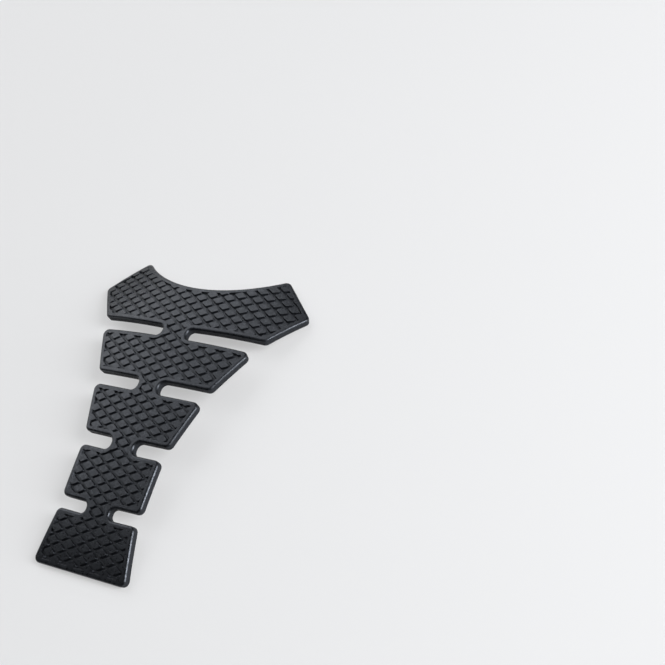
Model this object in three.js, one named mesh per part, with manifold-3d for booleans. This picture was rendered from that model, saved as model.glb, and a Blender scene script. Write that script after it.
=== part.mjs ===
// Motorcycle tank pad: one soft rubber moulding, bonded over the middle of a fuel tank.
// Millimetres. The pad is drawn flat, with U across it and V along its spine from tail to head,
// cut with its diamond tread, and then bent over the double curve of the tank.
// In the finished part +X is the rider's right, +Y points to the head and +Z out of the tank.
import * as THREE from 'three';
import Module from 'manifold-3d';

// Section through the edge
const THICKNESS = 4.7;        // back of the pad to the tops of the diamonds
const EDGE_RADIUS = 1.5;      // rounding between the side wall and the top
const EDGE_STEPS = 3;         // facets over that rounding

// Flat outline, right half, from tail to head: four segments, each with the slot above it,
// and the winged head segment
const FIRST_LENGTH = 33.6;    // along the spine
const FIRST_TAIL_HALF = 33.9; // half width at its tail side
const FIRST_HEAD_HALF = 28.1; // half width at its head side
const FIRST_SLOT = 7.1;       // slot above it, at the outer corners
const FIRST_SPINE_HALF = 8.7; // half of the spine left in that slot
const SECOND_LENGTH = 32.2;
const SECOND_TAIL_HALF = 28.6;
const SECOND_HEAD_HALF = 28.9;
const SECOND_SLOT = 8.4;
const SECOND_SPINE_HALF = 8.4;
const THIRD_LENGTH = 30.8;
const THIRD_TAIL_HALF = 30.7;
const THIRD_HEAD_HALF = 39.3;
const THIRD_SLOT = 8.6;
const THIRD_SPINE_HALF = 7.6;
const FOURTH_LENGTH = 30.3;
const FOURTH_TAIL_HALF = 41.3;
const FOURTH_HEAD_HALF = 55.8;
const FOURTH_SLOT = 9.6;
const FOURTH_SPINE_HALF = 9.2;
const WING_BASE_HALF = 60.0;  // half width at the tail side of the head segment
const WING_TIP_HALF = 78.1;   // half width at the wing tips
const WING_TIP_RISE = 25.2;   // wing tip above the tail side of the head segment
const HEAD_CORNER_HALF = 53.1; // half width at the two head corners
const HEAD_CORNER_RISE = 49.4; // head corner above the tail side of the head segment
const HEAD_RADIUS = 77.0;     // hollow of the head edge
const CORNER_RADIUS = 3.6;    // plan rounding of the segment corners
const SLOT_SWEEP = 0.017;     // fall of the slot sides towards the spine
const HEAD_SWEEP = 0.057;     // the same for the tail side of the head segment
const SLOT_END_FLAT = 0.8;    // straight bit left between the two roundings of a slot's inner end
const LEAST_RADIUS = 0.3;     // smallest plan rounding that is left when the outline is moved inwards

// Diamond tread
const DIAMOND_ACROSS = 12.0;  // pitch across the pad
const DIAMOND_ALONG = 7.1;    // pitch along the spine
const GROOVE_WIDTH = 1.6;     // between two diamonds, at their tops
const GROOVE_DEPTH = 1.4;
const GROOVE_DRAFT = 0.3;     // how far each diamond's wall leans out on its way down
const TREAD_MARGIN = 3.0;     // plain border round the tread
const LATTICE_START = 0.6;    // first diamond row on the spine, from the tail edge

// Bend over the tank, as radii: along the spine at the tail edge, half way and at the head corners,
// and across the pad at both ends
const SPINE_RADIUS_TAIL = 286;
const SPINE_RADIUS_MIDDLE = 556;
const SPINE_RADIUS_HEAD = 185;
const CROSS_RADIUS_TAIL = 4000;
const CROSS_RADIUS_HEAD = 233;

// Fineness of the facets
const CORNER_STEPS = 4;
const HEAD_STEPS = 14;
const BEND_TOLERANCE = 0.12;  // largest gap between a straight facet edge and the bent surface
const BEND_STEPS = 60;        // steps of the integration along the spine

const RUBBER = { color: 0x2a2b2d, roughness: 0.62, metalness: 0.0 };

const SEGMENTS = [
  {
    length: FIRST_LENGTH,
    tailHalf: FIRST_TAIL_HALF,
    headHalf: FIRST_HEAD_HALF,
    slot: FIRST_SLOT,
    spineHalf: FIRST_SPINE_HALF,
  },
  {
    length: SECOND_LENGTH,
    tailHalf: SECOND_TAIL_HALF,
    headHalf: SECOND_HEAD_HALF,
    slot: SECOND_SLOT,
    spineHalf: SECOND_SPINE_HALF,
  },
  {
    length: THIRD_LENGTH,
    tailHalf: THIRD_TAIL_HALF,
    headHalf: THIRD_HEAD_HALF,
    slot: THIRD_SLOT,
    spineHalf: THIRD_SPINE_HALF,
  },
  {
    length: FOURTH_LENGTH,
    tailHalf: FOURTH_TAIL_HALF,
    headHalf: FOURTH_HEAD_HALF,
    slot: FOURTH_SLOT,
    spineHalf: FOURTH_SPINE_HALF,
  },
];

/** Corners of the right half outline, tail to head, as { u, v, r } with their plan rounding. */
function halfOutline() {
  const corners = [];
  let v = 0;
  let outer = { u: SEGMENTS[0].tailHalf, v };
  SEGMENTS.forEach((segment, i) => {
    const above = SEGMENTS[i + 1];
    const isLast = !above;
    const low = { u: segment.headHalf, v: v + segment.length };
    const high = { u: isLast ? WING_BASE_HALF : above.tailHalf, v: low.v + segment.slot };
    const lowIn = low.v - SLOT_SWEEP * (low.u - segment.spineHalf);
    const highIn = high.v - (isLast ? HEAD_SWEEP : SLOT_SWEEP) * (high.u - segment.spineHalf);
    const slotRadius = (highIn - lowIn - SLOT_END_FLAT) / 2;
    corners.push({ ...outer, r: CORNER_RADIUS });
    corners.push({ ...low, r: CORNER_RADIUS });
    corners.push({ u: segment.spineHalf, v: lowIn, r: slotRadius });
    corners.push({ u: segment.spineHalf, v: highIn, r: slotRadius });
    outer = high;
    v = high.v;
  });
  corners.push({ ...outer, r: CORNER_RADIUS });
  corners.push({ u: WING_TIP_HALF, v: v + WING_TIP_RISE, r: CORNER_RADIUS });
  corners.push({ u: HEAD_CORNER_HALF, v: v + HEAD_CORNER_RISE, r: CORNER_RADIUS });
  return corners;
}

/** The whole closed outline as corners, anticlockwise, with the hollow head edge as short chords. */
function outlineCorners() {
  const right = halfOutline();
  const left = right.map((c) => ({ u: -c.u, v: c.v, r: c.r })).reverse();
  const top = right[right.length - 1];
  const half = Math.asin(top.u / HEAD_RADIUS);
  const head = [];
  for (let i = 1; i < HEAD_STEPS; i++) {
    const angle = half * (1 - (2 * i) / HEAD_STEPS);
    const rise = HEAD_RADIUS * (Math.cos(angle) - Math.cos(half));
    head.push({ u: HEAD_RADIUS * Math.sin(angle), v: top.v - rise, r: 0 });
  }
  return [...right, ...head, ...left];
}

/** Moves every side of a closed anticlockwise outline inwards, and its roundings with it. */
function insetCorners(corners, distance) {
  const count = corners.length;
  return corners.map((corner, i) => {
    const before = corners[(i + count - 1) % count];
    const after = corners[(i + 1) % count];
    const a = new THREE.Vector2(corner.u - before.u, corner.v - before.v).normalize();
    const b = new THREE.Vector2(after.u - corner.u, after.v - corner.v).normalize();
    const turn = a.cross(b);
    const miter = distance / (1 + a.dot(b));
    const r = corner.r === 0 ? 0 : Math.max(corner.r - Math.sign(turn) * distance, LEAST_RADIUS);
    return { u: corner.u - (a.y + b.y) * miter, v: corner.v + (a.x + b.x) * miter, r };
  });
}

/** Turns corners into points, with each rounding as an arc of CORNER_STEPS facets. */
function roundCorners(corners) {
  const count = corners.length;
  const points = [];
  corners.forEach((corner, i) => {
    const here = new THREE.Vector2(corner.u, corner.v);
    if (corner.r === 0) {
      points.push(here);
      return;
    }
    const before = corners[(i + count - 1) % count];
    const after = corners[(i + 1) % count];
    const a = new THREE.Vector2(corner.u - before.u, corner.v - before.v).normalize();
    const b = new THREE.Vector2(after.u - corner.u, after.v - corner.v).normalize();
    const turn = Math.atan2(a.cross(b), a.dot(b));
    const tangent = corner.r * Math.tan(Math.abs(turn) / 2);
    const start = here.clone().addScaledVector(a, -tangent);
    const side = Math.sign(turn) * corner.r;
    const centre = new THREE.Vector2(start.x - a.y * side, start.y + a.x * side);
    for (let k = 0; k <= CORNER_STEPS; k++) {
      points.push(start.clone().rotateAround(centre, (turn * k) / CORNER_STEPS));
    }
  });
  return points;
}

/** Closed solid through rings of equal point count, each { points, w }, from the back up. */
function loftRings(rings) {
  const count = rings[0].points.length;
  const vertices = [];
  const triangles = [];
  for (const ring of rings) {
    for (const point of ring.points) {
      vertices.push(point.x, point.y, ring.w);
    }
  }
  for (let j = 0; j + 1 < rings.length; j++) {
    for (let i = 0; i < count; i++) {
      const a = j * count + i;
      const b = j * count + ((i + 1) % count);
      triangles.push(a, b, b + count, a, b + count, a + count);
    }
  }
  const last = (rings.length - 1) * count;
  for (const [i, j, k] of THREE.ShapeUtils.triangulateShape(rings[0].points, [])) {
    triangles.push(k, j, i);
  }
  for (const [i, j, k] of THREE.ShapeUtils.triangulateShape(rings[rings.length - 1].points, [])) {
    triangles.push(last + i, last + j, last + k);
  }
  return { vertices, triangles };
}

/** The plate without its tread: straight side walls, and a rounded edge round the top. */
function plateSolid(corners) {
  const wallTop = THICKNESS - EDGE_RADIUS;
  const rings = [{ points: roundCorners(corners), w: 0 }];
  for (let k = 0; k <= EDGE_STEPS; k++) {
    const angle = (Math.PI / 2) * (k / EDGE_STEPS);
    const inset = EDGE_RADIUS * (1 - Math.cos(angle));
    const points = roundCorners(insetCorners(corners, inset));
    rings.push({ points, w: wallTop + EDGE_RADIUS * Math.sin(angle) });
  }
  return loftRings(rings);
}

/** The sunk field that holds the tread, from the groove floor to the top. */
function fieldSolid(corners) {
  const points = roundCorners(insetCorners(corners, TREAD_MARGIN));
  return loftRings([
    { points, w: THICKNESS - GROOVE_DEPTH },
    { points, w: THICKNESS },
  ]);
}

/** All the diamonds as one mesh of separate four sided frustums, from the groove floor to the top. */
function diamondSolids(length) {
  const halfAcross = DIAMOND_ACROSS / 2;
  const halfAlong = DIAMOND_ALONG / 2;
  const inradius = (halfAcross * halfAlong) / Math.hypot(halfAcross, halfAlong);
  const topScale = 1 - GROOVE_WIDTH / 2 / inradius;
  const footScale = topScale + GROOVE_DRAFT / inradius;
  const vertices = [];
  const triangles = [];
  const ring = (u, v, w, scale) => {
    const across = halfAcross * scale;
    const along = halfAlong * scale;
    vertices.push(u + across, v, w, u, v + along, w, u - across, v, w, u, v - along, w);
  };
  const columns = Math.ceil(WING_TIP_HALF / halfAcross);
  const rows = Math.ceil((length - LATTICE_START) / halfAlong);
  for (let j = -1; j <= rows; j++) {
    for (let i = -columns; i <= columns; i++) {
      if ((i + j) % 2 !== 0) {
        continue;
      }
      const u = i * halfAcross;
      const v = LATTICE_START + j * halfAlong;
      const base = vertices.length / 3;
      ring(u, v, THICKNESS - GROOVE_DEPTH, footScale);
      ring(u, v, THICKNESS, topScale);
      triangles.push(base, base + 2, base + 1, base, base + 3, base + 2);
      triangles.push(base + 4, base + 5, base + 6, base + 4, base + 6, base + 7);
      for (let k = 0; k < 4; k++) {
        const a = base + k;
        const b = base + ((k + 1) % 4);
        triangles.push(a, b, b + 4, a, b + 4, a + 4);
      }
    }
  }
  return { vertices, triangles };
}

const kernel = await Module();
kernel.setup();

/** Hands a closed triangle soup to the solid kernel. */
function toSolid({ vertices, triangles }) {
  const mesh = new kernel.Mesh({
    numProp: 3,
    vertProperties: new Float32Array(vertices),
    triVerts: new Uint32Array(triangles),
  });
  mesh.merge();
  return new kernel.Manifold(mesh);
}

/** Curvature along the spine at a share of its length: the parabola through the three given values. */
function spineCurvature(share) {
  return ((1 - share) * (1 - 2 * share)) / SPINE_RADIUS_TAIL
    + (4 * share * (1 - share)) / SPINE_RADIUS_MIDDLE
    + (share * (2 * share - 1)) / SPINE_RADIUS_HEAD;
}

/** Curvature across the pad at a share of its length. */
function crossCurvature(share) {
  return (1 - share) / CROSS_RADIUS_TAIL + share / CROSS_RADIUS_HEAD;
}

/** Side view of the spine: position and slope at even steps, by adding up short arcs. */
function spineFrames(length) {
  const step = length / BEND_STEPS;
  const frames = [{ y: 0, z: 0, slope: 0 }];
  for (let i = 0; i < BEND_STEPS; i++) {
    const from = frames[i];
    const bend = spineCurvature((i + 0.5) / BEND_STEPS) * step;
    const middle = from.slope - bend / 2;
    frames.push({
      y: from.y + step * Math.cos(middle),
      z: from.z + step * Math.sin(middle),
      slope: from.slope - bend,
    });
  }
  return frames;
}

/** Gives the function that carries a flat point (u, v, w) onto the bent pad. */
function bender(length) {
  const frames = spineFrames(length);
  const step = length / BEND_STEPS;
  return ([u, v, w]) => {
    const index = Math.min(Math.max(Math.floor(v / step), 0), BEND_STEPS - 1);
    const from = frames[index];
    const past = v - index * step;
    const bend = spineCurvature((index + 0.5) / BEND_STEPS) * past;
    const y = from.y + past * Math.cos(from.slope - bend / 2);
    const z = from.z + past * Math.sin(from.slope - bend / 2);
    const slope = from.slope - bend;
    const cross = crossCurvature(v / length);
    const angle = cross * u;
    const x = Math.sin(angle) / cross + w * Math.sin(angle);
    const lift = (Math.cos(angle) - 1) / cross + w * Math.cos(angle);
    return [x, y - lift * Math.sin(slope), z + lift * Math.cos(slope)];
  };
}

/** Splits long edges until each lies on the bent surface, the same way on both sides of an edge. */
function splitForBend(flat, triangles, bend) {
  const bent = flat.map(bend);
  const halves = new Map();
  const middle = (a, b) => flat[a].map((x, k) => (x + flat[b][k]) / 2);
  const halve = (a, b) => {
    const key = a < b ? `${a}_${b}` : `${b}_${a}`;
    if (!halves.has(key)) {
      const point = middle(a, b);
      const place = bend(point);
      const gap = Math.hypot(...place.map((x, k) => x - (bent[a][k] + bent[b][k]) / 2));
      if (gap > BEND_TOLERANCE) {
        flat.push(point);
        bent.push(place);
        halves.set(key, flat.length - 1);
      } else {
        halves.set(key, -1);
      }
    }
    return halves.get(key);
  };
  const done = [];
  const open = [...triangles];
  while (open.length > 0) {
    const [a, b, c] = open.pop();
    const ab = halve(a, b);
    const bc = halve(b, c);
    const ca = halve(c, a);
    if (ab < 0 && bc < 0 && ca < 0) {
      done.push([a, b, c]);
    } else if (ab >= 0 && bc >= 0 && ca >= 0) {
      open.push([a, ab, ca], [ab, b, bc], [ca, bc, c], [ab, bc, ca]);
    } else if (ab >= 0) {
      open.push([a, ab, c], [ab, b, c]);
    } else if (bc >= 0) {
      open.push([b, bc, a], [bc, c, a]);
    } else {
      open.push([c, ca, b], [ca, a, b]);
    }
  }
  return { bent, triangles: done };
}

/** Turns the pad about X until its tail corners and its wing tips touch the floor, and centres it. */
function settle(points) {
  const lowest = (test) => points.filter(test).reduce((a, b) => (b[2] < a[2] ? b : a));
  for (let round = 0; round < 4; round++) {
    const box = new THREE.Box3().setFromPoints(points.map((p) => new THREE.Vector3(...p)));
    const middle = (box.min.y + box.max.y) / 2;
    const tail = lowest((p) => p[1] < middle);
    const head = lowest((p) => p[1] >= middle);
    const tilt = Math.atan2(head[2] - tail[2], head[1] - tail[1]);
    for (const p of points) {
      const y = p[1] * Math.cos(tilt) + p[2] * Math.sin(tilt);
      p[2] = p[2] * Math.cos(tilt) - p[1] * Math.sin(tilt);
      p[1] = y;
    }
  }
  const box = new THREE.Box3().setFromPoints(points.map((p) => new THREE.Vector3(...p)));
  for (const p of points) {
    p[1] -= (box.min.y + box.max.y) / 2;
    p[2] -= box.min.z;
  }
}

/** Builds the finished pad. */
function tankPad() {
  const corners = outlineCorners();
  const length = Math.max(...corners.map((c) => c.v));
  const plate = toSolid(plateSolid(corners));
  const grooves = toSolid(fieldSolid(corners)).subtract(toSolid(diamondSolids(length)));
  const mesh = plate.subtract(grooves).getMesh();

  const flat = [];
  for (let i = 0; i < mesh.vertProperties.length; i += mesh.numProp) {
    flat.push([...mesh.vertProperties.slice(i, i + 3)]);
  }
  const faces = [];
  for (let i = 0; i < mesh.triVerts.length; i += 3) {
    faces.push([...mesh.triVerts.slice(i, i + 3)]);
  }
  const { bent, triangles } = splitForBend(flat, faces, bender(length));
  settle(bent);

  const geometry = new THREE.BufferGeometry();
  geometry.setAttribute('position', new THREE.Float32BufferAttribute(bent.flat(), 3));
  geometry.setIndex(triangles.flat());
  geometry.computeVertexNormals();
  const pad = new THREE.Mesh(geometry, new THREE.MeshStandardMaterial(RUBBER));
  pad.name = 'tank_pad';
  return pad;
}

const part = new THREE.Group();
part.name = 'motorcycle_tank_pad';
part.add(tankPad());

export default part;
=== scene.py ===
# %% [markdown]
# # A motorcycle tank pad
#
# A tank pad is a soft rubber moulding that is stuck on a crowned, painted surface, where a belt buckle or a
# zip would scratch it. This one has a narrow spine, five segments that widen towards the head, and a diamond
# tread inside a plain border.
#
# The CAD model of the pad is loaded first. It stays the measure of every size here, and the finished piece
# takes the place of its only node.

# %% Load the CAD frame
import math

import bpy
import numpy as np
from mathutils import Matrix, Vector
from mathutils.geometry import delaunay_2d_cdt


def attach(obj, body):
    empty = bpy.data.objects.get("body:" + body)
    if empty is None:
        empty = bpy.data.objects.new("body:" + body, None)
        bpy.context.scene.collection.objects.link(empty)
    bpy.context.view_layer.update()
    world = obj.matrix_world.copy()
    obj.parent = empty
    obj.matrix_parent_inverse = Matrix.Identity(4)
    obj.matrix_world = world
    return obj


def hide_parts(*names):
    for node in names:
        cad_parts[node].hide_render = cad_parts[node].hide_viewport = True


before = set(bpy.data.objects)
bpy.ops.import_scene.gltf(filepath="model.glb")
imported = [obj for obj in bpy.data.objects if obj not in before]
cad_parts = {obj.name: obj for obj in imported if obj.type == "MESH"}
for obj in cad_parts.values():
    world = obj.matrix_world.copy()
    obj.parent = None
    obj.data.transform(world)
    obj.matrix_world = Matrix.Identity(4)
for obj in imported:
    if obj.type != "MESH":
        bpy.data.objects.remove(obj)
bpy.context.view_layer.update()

# %% [markdown]
# ## Sizes
#
# The mould maker thinks of the pad as a flat sheet: u runs across it, v along its spine from the tail edge
# to the head, and w up from its back. All sizes are in millimetres, the same as in the CAD source, and only
# the finished mesh is turned into metres.

# %% Sizes of the pad
THICKNESS = 4.7
EDGE_RADIUS = 1.5
SEGMENTS = [
    # length, half width at its tail side, at its head side, slot above it, half of the spine in that slot
    (33.6, 33.9, 28.1, 7.1, 8.7),
    (32.2, 28.6, 28.9, 8.4, 8.4),
    (30.8, 30.7, 39.3, 8.6, 7.6),
    (30.3, 41.3, 55.8, 9.6, 9.2),
]
WING_BASE_HALF = 60.0
WING_TIP = (78.1, 25.2)
HEAD_CORNER = (53.1, 49.4)
HEAD_RADIUS = 77.0
CORNER_RADIUS = 3.6
SLOT_SWEEP = 0.017
HEAD_SWEEP = 0.057
SLOT_END_FLAT = 0.8

DIAMOND_ACROSS = 12.0
DIAMOND_ALONG = 7.1
LATTICE_START = 0.6
GROOVE_WIDTH = 1.6
GROOVE_DEPTH = 1.4
GROOVE_DRAFT = 0.3
TREAD_MARGIN = 3.0

# radii of the bend along the spine at tail, middle and head, and of the bend across at tail and head
SPINE_RADII = (286.0, 556.0, 185.0)
CROSS_RADII = (4000.0, 233.0)
print(f"flat sheet {2 * WING_TIP[0]:.1f} mm wide and {THICKNESS} mm thick, grooves {GROOVE_DEPTH} mm deep")

# %% [markdown]
# ## The outline
#
# The pad's outline is a closed chain of corners, each with its own plan rounding. Working with corners
# rather than with points has one great advantage: the whole outline can be moved inwards by any distance,
# exactly and with its roundings, and every ring of the finished surface is such a moved outline.

# %% Corners of the outline
def half_outline():
    """Corners of the right half from tail to head, one row each: u, v and plan radius.

    A slot's sides fall by their sweep towards the spine. The roundings of its inner end fill its width
    there but for a short flat.
    """
    rows = []
    v = 0.0
    outer = (SEGMENTS[0][1], v)
    for i, (length, _, head_half, slot, spine_half) in enumerate(SEGMENTS):
        last = i == len(SEGMENTS) - 1
        low = (head_half, v + length)
        high = (WING_BASE_HALF if last else SEGMENTS[i + 1][1], low[1] + slot)
        low_in = low[1] - SLOT_SWEEP * (low[0] - spine_half)
        high_in = high[1] - (HEAD_SWEEP if last else SLOT_SWEEP) * (high[0] - spine_half)
        slot_radius = (high_in - low_in - SLOT_END_FLAT) / 2
        rows += [(*outer, CORNER_RADIUS), (*low, CORNER_RADIUS)]
        rows += [(spine_half, low_in, slot_radius), (spine_half, high_in, slot_radius)]
        outer, v = high, high[1]
    rows.append((*outer, CORNER_RADIUS))
    rows.append((WING_TIP[0], v + WING_TIP[1], CORNER_RADIUS))
    rows.append((HEAD_CORNER[0], v + HEAD_CORNER[1], CORNER_RADIUS))
    return np.array(rows)


def whole_outline(head_steps=40, clear=5.5):
    """Both halves, anticlockwise. The hollow head edge is an arc of HEAD_RADIUS through the head corners.

    Its fine steps start a little way in, clear of the corners' own roundings.
    """
    right = half_outline()
    left = right[::-1] * (-1, 1, 1)
    corner_u, corner_v = right[-1, :2]
    half = math.asin(corner_u / HEAD_RADIUS)
    reach = half - clear / HEAD_RADIUS
    angle = np.linspace(reach, -reach, head_steps)
    dip = HEAD_RADIUS * (np.cos(angle) - math.cos(half))
    head = np.column_stack([HEAD_RADIUS * np.sin(angle), corner_v - dip, np.zeros_like(angle)])
    return np.vstack([right, head, left])


OUTLINE = whole_outline()
PAD_LENGTH = OUTLINE[:, 1].max()
print(f"outline: {len(OUTLINE)} corners, {PAD_LENGTH:.1f} mm along the spine")

# %% [markdown]
# Blender's own curves could round the corners too. A formula is better here, because the roundings of each
# ring have to shrink or grow exactly by its distance from the rim. One helper moves the corners inwards,
# and the other draws the roundings as arcs.

# %% Moving and rounding an outline
LEAST_RADIUS = 0.05


def side_directions(corners):
    """Unit directions of the side before and of the side after each corner."""
    here = corners[:, :2]
    after = np.roll(here, -1, axis=0) - here
    after /= np.linalg.norm(after, axis=1, keepdims=True)
    return np.roll(after, 1, axis=0), after


def inset(corners, distance):
    """Moves every side inwards by a distance. Outer roundings shrink by it and hollow ones grow by it.

    A corner moves by the distance times the sum of its two sides' normals, divided by one plus the cosine
    of the angle between them.
    """
    a, b = side_directions(corners)
    turn = a[:, 0] * b[:, 1] - a[:, 1] * b[:, 0]
    reach = distance / (1 + (a * b).sum(axis=1))
    moved = corners[:, :2] + np.column_stack([-(a + b)[:, 1], (a + b)[:, 0]]) * reach[:, None]
    rounded = np.maximum(corners[:, 2] - np.sign(turn) * distance, LEAST_RADIUS)
    return np.column_stack([moved, np.where(corners[:, 2] == 0, 0, rounded)])


def rounded_loop(corners, steps=9, longest=2.6):
    """Points of the closed outline: each rounding as an arc, and long sides cut into even pieces.

    A point of an arc is the arc's centre plus its radius turned by an even share of the corner's angle. The
    arc of a corner without rounding shrinks to one point.
    """
    a, b = side_directions(corners)
    turn = np.arctan2(a[:, 0] * b[:, 1] - a[:, 1] * b[:, 0], (a * b).sum(axis=1))
    radius = corners[:, 2] * np.sign(turn)
    start = corners[:, :2] - a * (corners[:, 2] * np.tan(np.abs(turn) / 2))[:, None]
    centre = start + np.column_stack([-a[:, 1], a[:, 0]]) * radius[:, None]
    angle = turn[:, None] * np.linspace(0, 1, steps + 1)
    arm = start - centre
    x = centre[:, :1] + arm[:, :1] * np.cos(angle) - arm[:, 1:] * np.sin(angle)
    y = centre[:, 1:] + arm[:, :1] * np.sin(angle) + arm[:, 1:] * np.cos(angle)
    points = np.stack([x, y], axis=2)
    keep = np.ones(points.shape[:2], bool)
    keep[corners[:, 2] == 0, 1:] = False
    points = points[keep]
    ahead = np.roll(points, -1, axis=0) - points
    pieces = np.ceil(np.linalg.norm(ahead, axis=1) / longest).astype(int).clip(1)
    share = np.concatenate([np.arange(n) / n for n in pieces])
    return np.repeat(points, pieces, axis=0) + np.repeat(ahead, pieces, axis=0) * share[:, None]


print("points round the outline:", len(rounded_loop(OUTLINE)))

# %% [markdown]
# ## The profile of a groove
#
# The tread is a net of grooves, so one profile gives every wall in it: the top edge of a rubber moulding is
# never sharp, the wall leans out a little so that the pad leaves its mould, and a small hollow joins it to
# the groove's floor. The same profile runs round each diamond and round the inside of the border.
#
# It is kept as a chain of (distance from the top edge, height below the top). Its corners are used twice:
# as the places of the rings in the mesh, and by linear interpolation as the height of any other point. A
# narrow flat at each end keeps the shading of the roundings off the top and off the floor.

# %% Profile of the groove wall
TOP_ROUNDING = 0.13
FLOOR_ROUNDING = 0.18
TOP_FLAT = 0.15
FLOOR_FLAT = 0.08


def corner_arc(corner, before, after, radius, steps):
    """Points of an arc of the given radius that touches both lines meeting at the corner.

    It starts before the corner, by the radius times the tangent of half the turn, and its centre lies one
    radius to the side of that start.
    """
    corner, a, b = (np.array(p, float) for p in (corner, before, after))
    a = (corner - a) / np.linalg.norm(corner - a)
    b = (b - corner) / np.linalg.norm(b - corner)
    turn = math.atan2(a[0] * b[1] - a[1] * b[0], a @ b)
    start = corner - a * radius * math.tan(abs(turn) / 2)
    side = np.array([-a[1], a[0]]) * math.copysign(radius, turn)
    angle = turn * np.linspace(0, 1, steps + 1)[:, None]
    centre, arm = start + side, -side
    return centre + arm * np.cos(angle) + np.array([-arm[1], arm[0]]) * np.sin(angle)


EDGE = (0.0, 0.0)
FOOT = (GROOVE_DRAFT, -GROOVE_DEPTH)
ON_TOP, ON_FLOOR = (-1.0, 0.0), (2.0, -GROOVE_DEPTH)
top_arc = corner_arc(EDGE, ON_TOP, FOOT, TOP_ROUNDING, steps=3)
foot_arc = corner_arc(FOOT, EDGE, ON_FLOOR, FLOOR_ROUNDING, steps=2)
on_top = np.array([[top_arc[0, 0] - TOP_FLAT, 0.0]])
on_floor = np.array([[foot_arc[-1, 0] + FLOOR_FLAT, -GROOVE_DEPTH]])
WALL = np.vstack([on_top, top_arc, foot_arc, on_floor])
print("groove wall, mm from its edge and below the top:\n", WALL.round(3))

# %% [markdown]
# ## The diamonds
#
# The diamonds stand on a regular lattice. Because the lattice is regular, the nearest diamond of any point
# is found without a search: in the slanted coordinates p = across + along and q = across - along, counted
# in pitches, the diamond centres are the whole numbers. Their corners are rounded in plan.

# %% Distance from the diamonds
DIAMOND_PLAN_RADIUS = 0.8
HALF_ACROSS = DIAMOND_ACROSS / 2
HALF_ALONG = DIAMOND_ALONG / 2
SIDE_LENGTH = math.hypot(HALF_ACROSS, HALF_ALONG)
CELL_INRADIUS = HALF_ACROSS * HALF_ALONG / SIDE_LENGTH
CORE_SCALE = (CELL_INRADIUS - GROOVE_WIDTH / 2 - DIAMOND_PLAN_RADIUS) / CELL_INRADIUS
CORE = np.array([HALF_ACROSS, HALF_ALONG]) * CORE_SCALE


def from_diamond(points):
    """Distance outwards from the top edge of the nearest diamond, negative on the diamond.

    A rounded diamond is every point within DIAMOND_PLAN_RADIUS of a sharp core, so the distance from the
    core's nearest side is measured and the radius is taken off.
    """
    across = points[:, 0] / DIAMOND_ACROSS
    along = (points[:, 1] - LATTICE_START) / DIAMOND_ALONG
    p, q = np.round(across + along), np.round(across - along)
    x = np.abs(points[:, 0] - (p + q) / 2 * DIAMOND_ACROSS)
    y = np.abs(points[:, 1] - LATTICE_START - (p - q) / 2 * DIAMOND_ALONG)
    a, b = CORE
    share = (((a - x) * a + y * b) / (a * a + b * b)).clip(0, 1)
    away = np.hypot(x - a * (1 - share), y - b * share)
    return np.where(x * b + y * a < a * b, -away, away) - DIAMOND_PLAN_RADIUS


def diamond_ring(offset):
    """Points of one ring round a diamond at the origin, that far out from its top edge.

    Each corner of the core gives an arc about it, of the plan radius plus the offset.
    """
    lean = math.atan2(HALF_ACROSS, HALF_ALONG)
    tip = np.linspace(-lean, lean, 5)
    side = np.linspace(lean, math.pi - lean, 4)
    radius = DIAMOND_PLAN_RADIUS + offset
    arcs = [
        ((CORE[0], 0), tip), ((0, CORE[1]), side),
        ((-CORE[0], 0), tip + math.pi), ((0, -CORE[1]), side + math.pi),
    ]
    loop = [np.add(centre, radius * np.column_stack([np.cos(t), np.sin(t)])) for centre, t in arcs]
    loop = [np.vstack([arc, (arc[-1] + loop[(i + 1) % 4][0]) / 2]) for i, arc in enumerate(loop)]
    return np.vstack(loop)


diamond_width = 2 * (CORE[0] + DIAMOND_PLAN_RADIUS)
print(f"diamond: {diamond_width:.1f} mm across its top, ring of {len(diamond_ring(0))} points")

# %% [markdown]
# ## The tread's border
#
# The sunk field of the tread is the outline moved inwards by the margin. Its height at a point is the
# higher of two things: what the border's wall leaves there and what the nearest diamond's wall leaves
# there. Where the two walls cross, the diamond is cut off by the border, as in the mould.

# %% Distance from the border, and the height of the top
FIELD_CORNER_RADIUS = 1.2
FIELD = inset(OUTLINE, TREAD_MARGIN)
FIELD[:, 2] = np.where(FIELD[:, 2] > 0, FIELD[:, 2].clip(FIELD_CORNER_RADIUS), 0)
FIELD_LOOP = rounded_loop(FIELD, steps=12, longest=50)


def inside_loop(points, loop, batch=4000):
    """Distance inwards from a closed loop, negative outside it.

    The distance is the least to any of its sides. A point is inside where a line to the right of it crosses
    the loop an odd number of times. The points are taken in batches, to spare memory.
    """
    result = np.empty(len(points))
    ends = np.roll(loop, -1, axis=0)
    run = ends - loop
    size = (run ** 2).sum(axis=1)
    for part in np.array_split(np.arange(len(points)), max(len(points) // batch, 1)):
        x, y = points[part, :1], points[part, 1:]
        share = (((x - loop[:, 0]) * run[:, 0] + (y - loop[:, 1]) * run[:, 1]) / size).clip(0, 1)
        gap = np.hypot(x - loop[:, 0] - share * run[:, 0], y - loop[:, 1] - share * run[:, 1])
        spans = (loop[:, 1] > y) != (ends[:, 1] > y)
        slope = run[:, 0] / np.where(run[:, 1] == 0, 1, run[:, 1])
        crossed = spans & (x < loop[:, 0] + slope * (y - loop[:, 1]))
        result[part] = gap.min(axis=1) * np.where(crossed.sum(axis=1) % 2, 1, -1)
    return result


def tread_height(points):
    """Height of the top surface away from the pad's edge: the higher of border wall and diamond wall."""
    border = np.interp(inside_loop(points, FIELD_LOOP), WALL[:, 0], WALL[:, 1])
    diamond = np.interp(from_diamond(points), WALL[:, 0], WALL[:, 1])
    return THICKNESS + np.maximum(border, diamond)


print("tread field:", len(FIELD_LOOP), "corners round its border")

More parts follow.
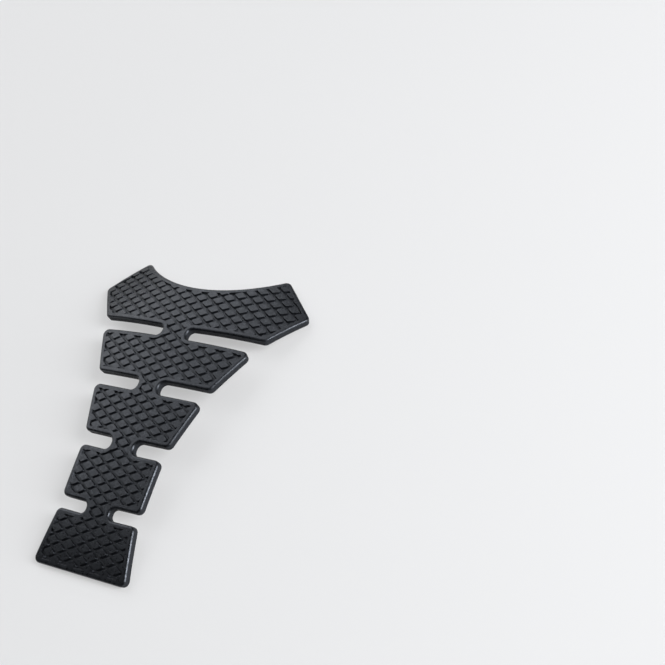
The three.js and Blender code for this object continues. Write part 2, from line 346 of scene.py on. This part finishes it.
# %% [markdown]
# ## The lines of the top surface
#
# A grid of squares would need millions of faces to follow slanted diamonds and rounded slots. Instead,
# lines are drawn where the surface changes direction: rings round the pad's edge, rings inside its border
# and rings round each diamond. Blender's constrained triangulation then fills the sheet with triangles
# whose edges keep to those lines, and it adds a point wherever two lines cross.

# %% Rings of the edge, the border and the diamonds
EDGE_STEPS = 6
EDGE_FLAT = 0.25
edge_angle = np.linspace(0, math.pi / 2, EDGE_STEPS + 1)
EDGE_INSETS = np.append(EDGE_RADIUS * (1 - np.cos(edge_angle)), EDGE_RADIUS + EDGE_FLAT)
EDGE_HEIGHTS = np.append(THICKNESS - EDGE_RADIUS * (1 - np.sin(edge_angle)), THICKNESS)
SLACK = 0.01


def closed_edges(count):
    """Pairs of point numbers that close a loop of that many points."""
    index = np.arange(count)
    return np.column_stack([index, (index + 1) % count])


def diamond_lines():
    """Points and edges of all diamond rings that lie at least partly inside the tread field."""
    columns = math.ceil(WING_TIP[0] / HALF_ACROSS) + 1
    rows = math.ceil(PAD_LENGTH / HALF_ALONG) + 1
    i, j = np.meshgrid(np.arange(-columns, columns + 1), np.arange(-2, rows + 1))
    even = (i + j) % 2 == 0
    centres = np.column_stack([i[even] * HALF_ACROSS, LATTICE_START + j[even] * HALF_ALONG])
    centres = centres[inside_loop(centres, FIELD_LOOP) > -HALF_ACROSS]
    rings = np.stack([diamond_ring(offset) for offset in WALL[:, 0]])
    count = rings.shape[1]
    points = (centres[:, None, None, :] + rings).reshape(-1, 2)
    first = np.arange(len(centres) * len(rings)) * count
    edges = (closed_edges(count)[None] + first[:, None, None]).reshape(-1, 2)
    near = inside_loop(points, FIELD_LOOP) > WALL[0, 0] - SLACK
    edges = edges[near[edges].any(axis=1)]
    used = np.unique(edges)
    return points[used], np.searchsorted(used, edges), len(centres)


edge_loops = [rounded_loop(inset(OUTLINE, distance)) for distance in EDGE_INSETS]
border_loops = [rounded_loop(inset(FIELD, distance), steps=6) for distance in WALL[:, 0]]
tread_points, tread_edges, diamond_count = diamond_lines()
loops = edge_loops + border_loops
lines = [closed_edges(len(loop)) for loop in loops] + [tread_edges]
first = np.cumsum([0] + [len(loop) for loop in loops])
points = np.vstack(loops + [tread_points])
edges = np.vstack([line + start for line, start in zip(lines, first)])
heights = np.full(len(points), np.nan)
edge_total = sum(len(loop) for loop in edge_loops)
heights[:edge_total] = np.repeat(EDGE_HEIGHTS, [len(loop) for loop in edge_loops])
print(f"{len(points)} points and {len(edges)} edges, {diamond_count} diamonds")

# %% [markdown]
# The lines are filled while the sheet is flat, because a triangulation works in a plane. The heights follow
# afterwards: a point of an edge ring knows its height, and any other takes it from the tread. Points nearer
# to each other than two thousandths of a millimetre become one, so that no sliver is left. The
# triangulation fills the hull of all points, so what lies outside the rim is taken away again, with the
# flat triangles that it lays on the rim's straight sides.

# %% Triangulate the top of the flat sheet
RIM = rounded_loop(OUTLINE)
JOINED_WITHIN = 0.002
CLEAR_OF_RIM = 0.001


def triangulated(points, edges):
    """Points, triangles and, for each point, the number of the given point it came from, or -1."""
    flat = [Vector(p) for p in points.tolist()]
    found, _, faces, origin, _, _ = delaunay_2d_cdt(flat, edges.tolist(), [], 0, JOINED_WITHIN)
    source = np.array([ids[0] if ids else -1 for ids in origin])
    return np.array([tuple(p) for p in found]), np.array(faces), source


def kept_inside(points, faces, loop):
    """Only the triangles whose middle lies inside the loop and clear of it."""
    return faces[inside_loop(points[faces].mean(axis=1), loop) > CLEAR_OF_RIM]


top, top_faces, source = triangulated(points, edges)
top_faces = kept_inside(top, top_faces, RIM)
top_heights = np.where(source >= 0, heights[source], np.nan)
unknown = np.isnan(top_heights)
top_heights[unknown] = tread_height(top[unknown])
print(f"top: {len(top)} points, {len(top_faces)} triangles")

# %% [markdown]
# ## The back and the wall
#
# The back is plain: it carries the adhesive. It only needs points close enough together to follow the bend,
# so a square grid is enough inside the rim. The wall stands straight between the two rims.

# %% Triangulate the back
BACK_STEP = 5.0
BACK_FIRST_ROW = 2.0
BACK_CLEAR = 1.2
half_width = math.floor(WING_TIP[0])
across = np.arange(-half_width, half_width + 1, BACK_STEP)
along = np.arange(BACK_FIRST_ROW, PAD_LENGTH, BACK_STEP)
grid = np.stack(np.meshgrid(across, along), axis=-1).reshape(-1, 2)
grid = grid[inside_loop(grid, RIM) > BACK_CLEAR]
back, back_faces, _ = triangulated(np.vstack([RIM, grid]), closed_edges(len(RIM)))
back_faces = kept_inside(back, back_faces, RIM)[:, ::-1]
print(f"back: {len(back)} points, {len(back_faces)} triangles")

# %% [markdown]
# ## Bending the sheet two ways
#
# The sheet keeps the bend it has when it is stuck on. Along its spine, the curvature is one over the radius
# and follows a parabola through its values at the tail, the middle and the head. Across, it grows evenly
# from almost nothing at the tail to a clear crown at the head. A lattice or a curve modifier bends one way
# only, so both bends are worked out as formulas, and each point goes through them once.

# %% The bend
STEPS = 2000
share = (np.arange(STEPS) + 0.5) / STEPS
weights = np.array([(1 - share) * (1 - 2 * share), 4 * share * (1 - share), share * (2 * share - 1)])
spine_curvature = (weights / np.array(SPINE_RADII)[:, None]).sum(axis=0)
step = PAD_LENGTH / STEPS
SPINE_V = np.arange(STEPS + 1) * step
SPINE_SLOPE = np.append(0, -np.cumsum(spine_curvature * step))
middle_slope = (SPINE_SLOPE[1:] + SPINE_SLOPE[:-1]) / 2
SPINE_Y = np.append(0, np.cumsum(np.cos(middle_slope) * step))
SPINE_Z = np.append(0, np.cumsum(np.sin(middle_slope) * step))


def bent(u, v, w):
    """Carries flat points onto the bent pad.

    Across the pad a point keeps to an arc: x = sin(angle) / curvature, and its lift above the spine is
    (cos(angle) - 1) / curvature, both with the height w added along the arc's normal. The lift is then
    taken along the normal of the spine, which is itself the running sum of short arcs.
    """
    slope = np.interp(v, SPINE_V, SPINE_SLOPE)
    cross = (1 - v / PAD_LENGTH) / CROSS_RADII[0] + v / PAD_LENGTH / CROSS_RADII[1]
    angle = cross * u
    x = np.sin(angle) / cross + w * np.sin(angle)
    lift = (np.cos(angle) - 1) / cross + w * np.cos(angle)
    y = np.interp(v, SPINE_V, SPINE_Y) - lift * np.sin(slope)
    z = np.interp(v, SPINE_V, SPINE_Z) + lift * np.cos(slope)
    return np.column_stack([x, y, z])


print(f"the spine falls by {-math.degrees(SPINE_SLOPE[-1]):.1f} degrees from tail to head")

# %% [markdown]
# ## Setting it down
#
# On a flat surface the pad rests on its tail corners and on its wing tips. It is turned about X until both
# are level, and then centred, so that it lies where the CAD node lies.

# %% Turn and shift onto the floor
def turned(points, tilt):
    """Points turned about the X axis."""
    y = points[:, 1] * math.cos(tilt) + points[:, 2] * math.sin(tilt)
    z = points[:, 2] * math.cos(tilt) - points[:, 1] * math.sin(tilt)
    return np.column_stack([points[:, 0], y, z])


rim = bent(RIM[:, 0], RIM[:, 1], 0)
TILT = 0.0
for _ in range(4):
    now = turned(rim, TILT)
    halfway = (now[:, 1].min() + now[:, 1].max()) / 2
    tail_point = min(now[now[:, 1] < halfway], key=lambda p: p[2])
    head_point = min(now[now[:, 1] >= halfway], key=lambda p: p[2])
    TILT += math.atan2(head_point[2] - tail_point[2], head_point[1] - tail_point[1])
now = turned(np.vstack([rim, bent(RIM[:, 0], RIM[:, 1], THICKNESS - EDGE_RADIUS)]), TILT)
SHIFT = np.array([0, -(now[:, 1].min() + now[:, 1].max()) / 2, -now[:, 2].min()])


def placed(u, v, w):
    """Flat points carried onto the bent pad, set down and turned into metres."""
    return (turned(bent(u, v, w), TILT) + SHIFT) / 1000


print(f"turned by {math.degrees(TILT):.2f} degrees, shifted by {SHIFT.round(2)} mm")

# %% [markdown]
# ## The finished mesh
#
# Top, wall and back share their rim points, so the piece is one closed skin. The shading is smooth except
# where two faces meet at more than forty degrees, as at the back edge and where a diamond runs into the
# border. Each point also keeps two marks for the finish: how deep it lies in a groove, and whether it
# belongs to the side wall or the back.

# %% Join top, wall and back
SHARP_ANGLE = 40
FIELD_SLACK = 0.3


def mesh_piece(name, vertices, faces):
    """A new object with that mesh, at the origin, smooth but for its sharp edges."""
    mesh = bpy.data.meshes.new(name)
    mesh.from_pydata(vertices.tolist(), [], faces.tolist())
    mesh.polygons.foreach_set("use_smooth", np.ones(len(mesh.polygons), bool))
    mesh.set_sharp_from_angle(angle=math.radians(SHARP_ANGLE))
    mesh.validate()
    piece = bpy.data.objects.new(name, mesh)
    bpy.context.scene.collection.objects.link(piece)
    return piece


rim_on_top = np.full(len(RIM), -1)
from_rim = (source >= 0) & (source < len(RIM))
rim_on_top[source[from_rim]] = np.flatnonzero(from_rim)
rim_on_back = np.arange(len(RIM)) + len(top)
ahead_top, ahead_back = np.roll(rim_on_top, -1), np.roll(rim_on_back, -1)
wall_faces = np.vstack([
    np.column_stack([rim_on_back, ahead_back, ahead_top]),
    np.column_stack([rim_on_back, ahead_top, rim_on_top]),
])
vertices = np.vstack([placed(top[:, 0], top[:, 1], top_heights), placed(back[:, 0], back[:, 1], 0)])
faces = np.vstack([top_faces, back_faces + len(top), wall_faces])
used, faces = np.unique(faces, return_inverse=True)
pad = mesh_piece("moulded_pad", vertices[used], faces.reshape(-1, 3))
depth = (THICKNESS - top_heights) / GROOVE_DEPTH * (inside_loop(top, FIELD_LOOP) > -FIELD_SLACK)
in_groove = np.append(depth.clip(0, 1), np.zeros(len(back)))
on_wall = np.append(from_rim, np.ones(len(back)))
for name, values in (("groove", in_groove), ("wall", on_wall)):
    mark = pad.data.attributes.new(name, "FLOAT", "POINT")
    mark.data.foreach_set("value", values[used].astype(np.float32))
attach(pad, "root")
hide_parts("tank_pad")
print(f"pad: {len(pad.data.vertices)} points, {len(pad.data.polygons)} triangles")

# %% [markdown]
# ## The rubber
#
# A pad like this is moulded from synthetic rubber filled with carbon black, so its body is nearly black and
# almost all that is seen of it is its gloss. Its skin has a fine grain from the mould. Such a grain is about
# a tenth of a millimetre, too fine for the render, so it is drawn at 0.6 mm. Faint waves of 1.5 mm under it
# break up the gloss and shift the roughness a little. Both sizes are a choice, and so is the slightly blue
# tint of the gloss.
#
# Two marks stored at the mesh's points raise the roughness where the real pad shows less gloss. The groove
# mark rises with the depth below the top, and the wall mark is one on the side wall and the back.

# %% Colours and nodes
def linear(code):
    """Linear colour of an sRGB hex code.

    Each channel is ((c + 0.055) / 1.055) to the power 2.4, or c / 12.92 where it is very dark.
    """
    channels = [int(code[i:i + 2], 16) / 255 for i in (1, 3, 5)]
    return (*[c / 12.92 if c <= 0.04045 else ((c + 0.055) / 1.055) ** 2.4 for c in channels], 1.0)


def add_node(tree, kind, settings=None, inputs=None, links=None):
    """Adds a node, sets its properties and its input values, and links its inputs from given sockets."""
    node = tree.nodes.new(kind)
    for key, value in (settings or {}).items():
        setattr(node, key, value)
    for key, value in (inputs or {}).items():
        node.inputs[key].default_value = value
    for key, socket in (links or {}).items():
        tree.links.new(socket, node.inputs[key])
    return node


def new_material(name):
    """An empty material with its output node, and its tree."""
    material = bpy.data.materials.new(name)
    material.use_nodes = True
    material.node_tree.nodes.clear()
    return material, material.node_tree, material.node_tree.nodes.new("ShaderNodeOutputMaterial")


print("a mid grey, linear:", [round(c, 3) for c in linear("#808080")])

# %% Moulded synthetic rubber
GRAIN_MM, GRAIN_HEIGHT_MM = 0.6, 0.1
WAVE_MM, WAVE_HEIGHT_MM = 1.5, 0.08
GLOSSIEST, DULLEST = 0.27, 0.45
DULLER_IN_GROOVES, DULLER_ON_WALLS = 0.13, 0.4

rubber, tree, output = new_material("moulded_synthetic_rubber")
place = add_node(tree, "ShaderNodeTexCoord").outputs["Object"]
grain = add_node(tree, "ShaderNodeTexNoise",
                 inputs={"Scale": 1000 / GRAIN_MM, "Detail": 2.0, "Roughness": 0.6}, links={"Vector": place})
wave = add_node(tree, "ShaderNodeTexNoise",
                inputs={"Scale": 1000 / WAVE_MM, "Detail": 2.0, "Roughness": 0.5}, links={"Vector": place})
shade = add_node(tree, "ShaderNodeMapRange",
                 inputs={"From Min": 0.38, "From Max": 0.62, "To Min": GLOSSIEST, "To Max": DULLEST},
                 links={"Value": wave.outputs["Fac"]})
waves = add_node(tree, "ShaderNodeBump", inputs={"Strength": 0.8, "Distance": WAVE_HEIGHT_MM / 1000},
                 links={"Height": wave.outputs["Fac"]})
bump = add_node(tree, "ShaderNodeBump", inputs={"Strength": 0.6, "Distance": GRAIN_HEIGHT_MM / 1000},
                links={"Height": grain.outputs["Fac"], "Normal": waves.outputs["Normal"]})
groove = add_node(tree, "ShaderNodeAttribute", settings={"attribute_name": "groove"}).outputs["Fac"]
wall = add_node(tree, "ShaderNodeAttribute", settings={"attribute_name": "wall"}).outputs["Fac"]
in_grooves = add_node(tree, "ShaderNodeMath", settings={"operation": "MULTIPLY_ADD"},
                      inputs={1: DULLER_IN_GROOVES}, links={0: groove, 2: shade.outputs["Result"]})
on_walls = add_node(tree, "ShaderNodeMath", settings={"operation": "MULTIPLY_ADD"},
                    inputs={1: DULLER_ON_WALLS}, links={0: wall, 2: in_grooves.outputs["Value"]})
surface = add_node(tree, "ShaderNodeBsdfPrincipled",
                   inputs={"Base Color": linear("#07080a"), "IOR": 1.5, "Specular Tint": linear("#e8f0ff")},
                   links={"Roughness": on_walls.outputs["Value"], "Normal": bump.outputs["Normal"]})
tree.links.new(surface.outputs["BSDF"], output.inputs["Surface"])
pad.data.materials.append(rubber)
print("materials:", [m.name for m in bpy.data.materials])

# %% [markdown]
# ## The floor
#
# The pad lies on a plain sheet that is also lit from below, like a light table. The arch shades the floor
# in the slots, and without the glow they would be dark. The sheet's own colour is a middle grey and more
# than half of its pale tone is that glow. A plain square is enough, far wider than the pad.

# %% Floor
floor_material, tree, output = new_material("backlit_diffusing_sheet")
surface = add_node(tree, "ShaderNodeBsdfPrincipled",
                   inputs={"Base Color": linear("#8e8f91"), "Roughness": 0.9,
                           "Emission Color": linear("#ffffff"), "Emission Strength": 0.45})
tree.links.new(surface.outputs["BSDF"], output.inputs["Surface"])
FLOOR_HALF = 6.0
floor = mesh_piece("floor", np.array([[-1, -1, 0], [1, -1, 0], [1, 1, 0], [-1, 1, 0]]) * FLOOR_HALF,
                   np.array([[0, 1, 2], [0, 2, 3]]))
floor.data.materials.append(floor_material)
print(f"floor: {2 * FLOOR_HALF:.0f} m square")

# %% [markdown]
# ## The lights
#
# Black rubber shows its surroundings and not its own colour, so each light is placed where the surface
# mirrors it towards the camera. A large soft light stands behind the head on the left: the head segment
# mirrors it and the tail doesn't, which gives the fall of light along the pad. An upright strip on the right
# draws the bright lines along the right-hand edges. A weak one above lifts the middle segments.
#
# The places and strengths were worked out from how bright the pad's surfaces are, face by face, and then
# set. The studio round them is pale near the horizon, like a sheet that hangs behind the floor, and
# dark above, because a bright ceiling would wash out the tread. The standard view transform keeps the greys
# as they are worked out, with no film curve on top.

# %% Lights
def soft_light(name, place, target, size, power):
    """A rectangular area light at a place, facing a target, all in metres and watts."""
    data = bpy.data.lights.new(name, "AREA")
    data.shape = "RECTANGLE"
    data.size, data.size_y = size
    data.energy = power
    light = bpy.data.objects.new(name, data)
    light.location = place
    light.rotation_euler = (Vector(target) - Vector(place)).to_track_quat("-Z", "Y").to_euler()
    bpy.context.scene.collection.objects.link(light)
    return light


soft_light("backdrop_light", (-1.4, 1.05, 1.45), (0, 0, 0), (2.9, 2.0), 43)
soft_light("right_light", (1.5, 0.15, 0.75), (0, 0, 0), (0.55, 1.5), 54)
soft_light("top_light", (0.3, 0.7, 1.7), (0, 0, 0), (1.2, 1.2), 2)

world = bpy.data.worlds.new("studio")
bpy.context.scene.world = world
world.use_nodes = True
background = world.node_tree.nodes["Background"]
background.inputs["Color"].default_value = linear("#f2f4f6")
direction = add_node(world.node_tree, "ShaderNodeTexCoord").outputs["Generated"]
upwards = add_node(world.node_tree, "ShaderNodeSeparateXYZ", links={"Vector": direction}).outputs["Z"]
fall = add_node(world.node_tree, "ShaderNodeMapRange",
                inputs={"From Min": 0.04, "From Max": 0.2, "To Min": 0.6, "To Max": 0.05},
                links={"Value": upwards})
world.node_tree.links.new(fall.outputs["Result"], background.inputs["Strength"])
bpy.context.scene.view_settings.view_transform = "Standard"

# %% [markdown]
# ## The camera
#
# The camera stands on the pad's right, a little behind its tail and above it. Its place was worked out in
# the sheet's own frame at a point near the middle of the spine: across, along the spine and out of the
# sheet, in millimetres. So it is carried through the same bend and turn as the pad.

# %% Camera
VIEW_V = 101.65
VIEW_PLACE = (410.7, -171.4, 530.9)
VIEW_ALONG = (-0.46577, 0.36542, -0.80593)
VIEW_UP = (-0.13386, 0.87118, 0.47236)
FOCAL_PIXELS, PICTURE_PIXELS, SENSOR = 1141.4, 665, 36.0
FRAMING_SHIFT = (0.6 / PICTURE_PIXELS, -0.55 / PICTURE_PIXELS)

middle_slope = np.interp(VIEW_V, SPINE_V, SPINE_SLOPE)
spine_along = turned(np.array([[0, math.cos(middle_slope), math.sin(middle_slope)]]), TILT)[0]
spine_out = turned(np.array([[0, -math.sin(middle_slope), math.cos(middle_slope)]]), TILT)[0]
spine_frame = np.column_stack([(1, 0, 0), spine_along, spine_out])
backward = -spine_frame @ np.array(VIEW_ALONG)
upward = spine_frame @ np.array(VIEW_UP)
sideways = np.cross(upward, backward)

camera_data = bpy.data.cameras.new("camera")
camera_data.sensor_width = SENSOR
camera_data.lens = FOCAL_PIXELS / PICTURE_PIXELS * SENSOR
camera_data.shift_x, camera_data.shift_y = FRAMING_SHIFT
camera = bpy.data.objects.new("camera", camera_data)
turn = Matrix(np.column_stack([sideways, np.cross(backward, sideways), backward]).tolist()).to_4x4()
on_spine = placed(np.array([0.0]), np.array([VIEW_V]), 0.0)[0]
location = on_spine + spine_frame @ np.array(VIEW_PLACE) / 1000
camera.matrix_world = Matrix.Translation(location.tolist()) @ turn
bpy.context.scene.collection.objects.link(camera)
bpy.context.scene.camera = camera
print("camera at", location.round(3), "lens", round(camera_data.lens, 1), "mm")

# %% Update the view layer
bpy.context.view_layer.update()
